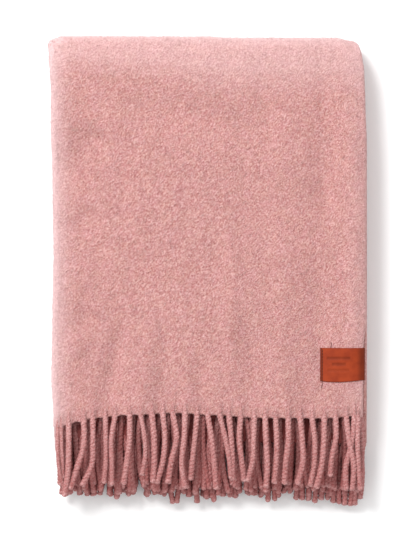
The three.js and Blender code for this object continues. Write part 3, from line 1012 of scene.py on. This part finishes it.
def hidden_tassels(lines, least, most, brushing_and_light, rng):
    """Tassels behind the front row, with the least and the most of their thickness."""
    thickness = rng.uniform(least, most, len(lines))
    return twisted_tassels(lines, thickness, brushing_and_light, rng, HIDDEN_SIDES, HIDDEN_TWIST_LENGTH)


def front_row(yarn, rng):
    """The front tassels, and their lines."""
    lines = front_lines(rng)
    brushing_and_light = rng.uniform(0.88, 1.0, len(lines))
    thickness = np.array(FRONT_TASSELS)[:, 5]
    row = twisted_tassels(lines, thickness, brushing_and_light, rng, FRONT_SIDES, TWIST_LENGTH)
    return tassel_piece("front_tassels", "fringe_front", [row], yarn), lines


def under_rows(yarn, rng):
    """The tassels of the front hem's three hidden layers."""
    groups = []
    for number, push, fall, pale in UNDER_LAYERS:
        x, y = seeded_ends(push, (-154, 161), (-232, -221), rng)
        lines = layer_lines(number, 0.0, x, y, fall, rng, UNDER_ROWS)
        brushing_and_light = brushing_and_light_of(x, 0.7 * pale, pale, rng)
        groups.append(hidden_tassels(lines, 0.9, 1.06, brushing_and_light, rng))
    return tassel_piece("under_tassels", "fringe_front", groups, yarn)


def back_rows(yarn, rng):
    """The back hem's tassels, and the lines of the lowest row, which makes the outline."""
    x, y = np.array(BACK_ENDS).T
    outline = layer_lines(4, CLOTH_LENGTH, x, y - END_ROUNDING, OUTLINE_FALL, rng, OUTLINE_ROWS)
    # The back hem's rows lie in shade and are painted deeper than the front row
    brushing_and_light = brushing_and_light_of(x, 0.5, 0.8, rng)
    groups = [hidden_tassels(outline, 0.88, 1.02, brushing_and_light, rng)]
    for number, push in BACK_LAYERS:
        x, y = seeded_ends(push, (-152, 160), (-236, -225), rng)
        fall = BACK_FALL - 0.3 * number
        lines = layer_lines(number, CLOTH_LENGTH, x, y, fall, rng, BACK_ROWS)
        brushing_and_light = brushing_and_light_of(x, 0.4, 0.68, rng)
        groups.append(hidden_tassels(lines, 0.9, 1.06, brushing_and_light, rng))
    return tassel_piece("back_tassels", "fringe_back", groups, yarn), outline


def hairs(roots, middles, ends, thickness):
    """Thin closed spikes, each through three points: the points and faces of one joined mesh."""
    count = len(roots)
    way = unit(ends - roots)
    side = unit(np.cross(way, np.array([0.31, 0.22, 0.93])))
    up = np.cross(side, way)
    turn = 2 * np.pi * np.arange(3) / 3
    ring = side[:, None] * np.cos(turn)[:, None] + up[:, None] * np.sin(turn)[:, None]
    half = (np.broadcast_to(thickness, (count,)) / 2)[:, None, None]
    low = roots[:, None] + half * ring
    high = middles[:, None] + 0.8 * half * ring
    points = np.concatenate([low, high, ends[:, None]], axis=1).reshape(-1, 3)
    first = 7 * np.arange(count)[:, None]
    faces = (first + np.array([2, 1, 0])).tolist()
    for k in range(3):
        after = (k + 1) % 3
        faces += (first + np.array([k, after, 3 + after, 3 + k])).tolist()
        faces += (first + np.array([3 + k, 3 + after, 6])).tolist()
    return points, faces


def nap_hairs(widths, lengths, size, lift, thickness, rng):
    """Hairs combed up to the right or down to the left on the cloth's outer side. The size, the
    lift in degrees and the thickness are pairs of the least and the most."""
    count = len(widths)
    across, along = cloth_tangents(widths, lengths)
    normal = cloth_normal(widths, lengths)
    root = cloth_point(widths, lengths, CLOTH_THICK / 2 - 0.1)
    lean = np.radians(rng.normal(HAIR_LEAN, HAIR_LEAN_SPREAD, count))
    flat = -across * np.cos(lean)[:, None] + along * np.sin(lean)[:, None]
    flat *= np.where(rng.random(count) < 0.5, -1, 1)[:, None]
    raise_by = np.radians(rng.uniform(*lift, count))[:, None]
    reach = rng.uniform(*size, count)[:, None]
    way = flat * np.cos(raise_by) + normal * np.sin(raise_by)
    end = root + way * reach
    bend = rng.normal(0, 0.12, (count, 1)) * reach * np.cross(way, normal)
    middle = root + way * reach * 0.5 + bend + normal * reach * 0.05
    return hairs(root, middle, end, rng.uniform(*thickness, count))


def nap(fibre):
    """Loose fibres all over the front, and shorter, steeper ones on the edges that make the
    outline."""
    rng = np.random.default_rng(47)
    top_turn_start = ALONG_ENDS[1]
    round_left = FRONT_RUN + HAIRS_ROUND * (LEFT_TURN_END - FRONT_RUN)
    round_top = top_turn_start + HAIRS_ROUND * (TOP_TURN_END - top_turn_start)
    widths = rng.uniform(1, round_left, NAP_HAIRS)
    lengths = rng.uniform(1, round_top, NAP_HAIRS)
    clear = off_label(widths, lengths)
    front = nap_hairs(widths[clear], lengths[clear], NAP_LENGTHS, NAP_LIFT, NAP_THICKNESS, rng)
    front_piece = new_piece("front_nap", *front, fibre, "wool")

    left = rng.uniform(FRONT_RUN - 1, round_left, EDGE_HAIRS)
    top = rng.uniform(top_turn_start + 8, round_top, EDGE_HAIRS)
    right = np.abs(rng.normal(0, 1.2, EDGE_HAIRS // 2))
    beside = rng.uniform(0, top_turn_start + 20, EDGE_HAIRS // 2)
    clear = off_label(right, beside)
    edge = []
    for at, to, lift in (
        (left, rng.uniform(0, round_top, EDGE_HAIRS), FOLD_LIFT),
        (rng.uniform(0, FRONT_RUN, EDGE_HAIRS), top, FOLD_LIFT),
        (right[clear], beside[clear], SELVEDGE_LIFT),
    ):
        edge.append(nap_hairs(at, to, EDGE_LENGTHS, lift, EDGE_THICKNESS, rng))
    edge_piece = new_piece("edge_nap", *joined(edge), fibre, "wool")
    return [front_piece, edge_piece]


def off_label(widths, lengths):
    """Which places on the front layer are clear of the label."""
    beyond = np.abs(lengths - LABEL_TOP + LABEL_HEIGHT / 2) - LABEL_HEIGHT / 2
    return (widths > LABEL_LENGTH + 2) | (beyond > 3)


def tassel_hairs(lines, fibre):
    """Short fibres that stand off the tassels, from pairs of lines and how many each one has."""
    rng = np.random.default_rng(53)
    made = []
    for group, for_each in lines:
        count, rows = group.shape[:2]
        number = for_each * count
        which = rng.integers(0, count, number)
        row = rng.integers(4, rows, number)
        along, side, up = frames(group)
        turn = rng.uniform(-0.05 * np.pi, 1.05 * np.pi, number)[:, None]
        out = side[which, row] * np.cos(turn) + up[which, row] * np.sin(turn)
        root = group[which, row] + out * (TASSEL_RADIUS - 0.8)
        outwards = out * rng.uniform(0.3, 1, (number, 1))
        way = unit(outwards + along[which, row] * rng.normal(0, 0.8, (number, 1)))
        reach = rng.uniform(*TASSEL_HAIR_LENGTHS, (number, 1))
        middle = root + way * reach * 0.55 + rng.normal(0, 0.12, (number, 3))
        thickness = rng.uniform(*TASSEL_HAIR_THICKNESS, number)
        made.append(hairs(root, middle, root + way * reach, thickness))
    return new_piece("tassel_hairs", *joined(made), fibre, "wool_fringe")


def label_point(way, down, raised):
    """A point of the label: the way from its front sewn end round the selvedge, the distance
    down from its top edge, and the height above its own middle."""
    past = way - LABEL_LENGTH
    turn = np.clip(past / LABEL_BEND, 0, 1) * math.pi
    inwards = np.where(past < 0, -past, np.maximum(past - LABEL_BEND, 0))
    reach = LABEL_CLEAR + raised
    return cloth_point(inwards - reach * np.sin(turn), LABEL_TOP - down, reach * np.cos(turn))


def label_grid():
    """The ways and the downs at which the label is cut: finer at its edges, where they round."""
    total = 2 * LABEL_LENGTH + LABEL_BEND
    ways = np.concatenate([
        [0, 0.25],
        np.linspace(0.7, LABEL_LENGTH - 0.5, 92),
        np.linspace(LABEL_LENGTH, LABEL_LENGTH + LABEL_BEND, 14),
        np.linspace(LABEL_LENGTH + LABEL_BEND + 1, total - 0.5, 24),
        [total - 0.2, total],
    ])
    downs = np.concatenate([
        [0, 0.25],
        np.linspace(0.7, LABEL_HEIGHT - 0.7, 68),
        [LABEL_HEIGHT - 0.25, LABEL_HEIGHT],
    ])
    return np.meshgrid(ways, downs, indexing="ij")


def label_strip(leather):
    """The leather strip, thinned at its edges, pressed by the marks and the seam."""
    way, down = label_grid()
    from_level_edges = np.minimum(down, LABEL_HEIGHT - down)
    edge = np.minimum(np.minimum(way, way[-1, 0] - way), from_level_edges)
    half = LABEL_THICK / 2 * (0.45 + 0.55 * np.sqrt(np.clip(edge / 0.7, 0, 1)))
    top = half - SEAM_DEPTH * near(np.abs(way - SEAM_IN), 1.5)
    # The leather is darker at its sewn end and its two level edges, and the darkening at its bend is painted
    # shade where it turns away from the light.
    worked_and_shaded = np.maximum(0.68 * near(way - 0.8, 3.0), 0.64 * near(LABEL_LENGTH - 0.5 - way, 6.5))
    worked_and_shaded = np.maximum(worked_and_shaded, 0.35 * near(from_level_edges, 1.6))
    for start, level, length, pressed in LABEL_MARKS:
        off_ends = np.maximum(start - way, way - start - length)
        off = np.maximum(np.abs(down - level) - MARK_WIDTH / 2, off_ends)
        top -= MARK_DEPTH * near(off + 0.35, 0.7)
        worked_and_shaded = np.maximum(worked_and_shaded, pressed * near(off + 0.4, 1.2))
    middle = np.sin(np.pi * np.clip(way / LABEL_LENGTH, 0, 1))
    bowed = down + LABEL_BOW * middle * (down / LABEL_HEIGHT) ** 2
    sheet_top = label_point(way, bowed, top).reshape(-1, 3)
    sheet_low = label_point(way, bowed, -half).reshape(-1, 3)
    faces, loop = sheet_faces(np.arange(way.size).reshape(way.shape))
    for corner, after in zip(loop, loop[1:] + loop[:1]):
        faces.append([corner, after, after + way.size, corner + way.size])
    strip = new_piece("leather_label", np.concatenate([sheet_top, sheet_low]), faces, leather, "leather")
    turn_outward(strip)
    give(strip.data, "worked_and_shaded", np.tile(worked_and_shaded.ravel(), 2))
    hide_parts("label")
    return strip


def label_stitches(thread):
    """The stitches through the label and the thread's loose ends."""
    stitches = []
    step = np.linspace(0, 1, 9)
    height = LABEL_THICK / 2 - 0.25 + 0.45 * np.sin(np.pi * step)
    for level in np.arange(1.8, LABEL_HEIGHT - 1, STITCH_PITCH):
        stitches.append(label_point(np.full(9, SEAM_IN), level + STITCH_LENGTH * step, height))
    stitches = np.array(stitches)
    sewn = tubes(stitches, np.full(stitches.shape[:2], THREAD_RADIUS), 6)
    loose = np.stack([cloth_point(*np.array(end).T) for end in THREAD_ENDS])
    loose = smooth_lines(loose, 12)
    ends = tubes(loose, np.full(loose.shape[:2], THREAD_END_RADIUS), 6)
    return new_piece("label_stitches", *joined([sewn, ends]), thread, "leather")


def turn_outward(piece):
    """Makes a closed mesh's faces all look outwards."""
    work = bmesh.new()
    work.from_mesh(piece.data)
    bmesh.ops.recalc_face_normals(work, faces=work.faces)
    work.to_mesh(piece.data)
    work.free()
    piece.data.shade_smooth()


def lay_floor(scene):
    """A wide floor under the throw."""
    mesh = bpy.data.meshes.new("floor")
    half = 4.0
    corners = [(-half, -half, 0), (half, -half, 0), (half, half, 0), (-half, half, 0)]
    mesh.from_pydata(corners, [], [[0, 1, 2, 3]])
    mesh.materials.append(pale_floor())
    floor = bpy.data.objects.new("floor", mesh)
    scene.collection.objects.link(floor)
    floor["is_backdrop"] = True


def light_studio(scene):
    """A bright white room, and one large soft light from the upper left."""
    world = bpy.data.worlds.new("soft_white_room")
    world.use_nodes = True
    background = world.node_tree.nodes["Background"]
    background.inputs["Color"].default_value = (1, 1, 1, 1)
    background.inputs["Strength"].default_value = 0.95
    scene.world = world

    key = bpy.data.lights.new("soft_box", "AREA")
    key.shape = "DISK"
    key.size = 1.9
    key.energy = 180
    lamp = bpy.data.objects.new("soft_box", key)
    lamp.location = (-1.7, 2.3, 3.2)
    lamp.rotation_euler = aim(lamp.location, (0, 0.02, 0.04))
    scene.collection.objects.link(lamp)


def set_camera(scene):
    """A long lens straight above the throw."""
    lens = bpy.data.cameras.new("camera")
    lens.sensor_fit = "VERTICAL"
    lens.sensor_height = 24
    lens.lens = 258.3
    lens.clip_end = 20
    camera = bpy.data.objects.new("camera", lens)
    camera.location = (0.0005, 0.0036, 6.03)
    camera.rotation_euler = (0, 0, 0)
    scene.collection.objects.link(camera)
    scene.camera = camera


def aim(place, target):
    """The rotation that looks from a place to a target."""
    way = np.array(target) - np.array(place)
    flat = math.hypot(way[0], way[1])
    return (math.atan2(flat, -way[2]), 0, math.atan2(-way[0], way[1]))


scene = bpy.context.scene
scene.view_settings.view_transform = "Standard"
wool, fibre, yarn = brushed_wool(), loose_fibre(), twisted_yarn()
throw = cloth(wool)
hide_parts("throw_cloth")
rng = np.random.default_rng(31)
front_tassels, front_row_lines = front_row(yarn, rng)
under_tassels = under_rows(yarn, rng)
back_tassels, outline_lines = back_rows(yarn, rng)
hairy_lines = [(front_row_lines, FRONT_TASSEL_HAIRS), (outline_lines, OUTLINE_TASSEL_HAIRS)]
going_along = [front_tassels, under_tassels, back_tassels, *nap(fibre), tassel_hairs(hairy_lines, fibre)]
going_along += [label_strip(cognac_leather()), label_stitches(sewing_thread())]
lay_floor(scene)
light_studio(scene)
set_camera(scene)

visual_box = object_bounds()
{"cad": [list(corner) for corner in cad_box], "visual": [list(corner) for corner in visual_box]}
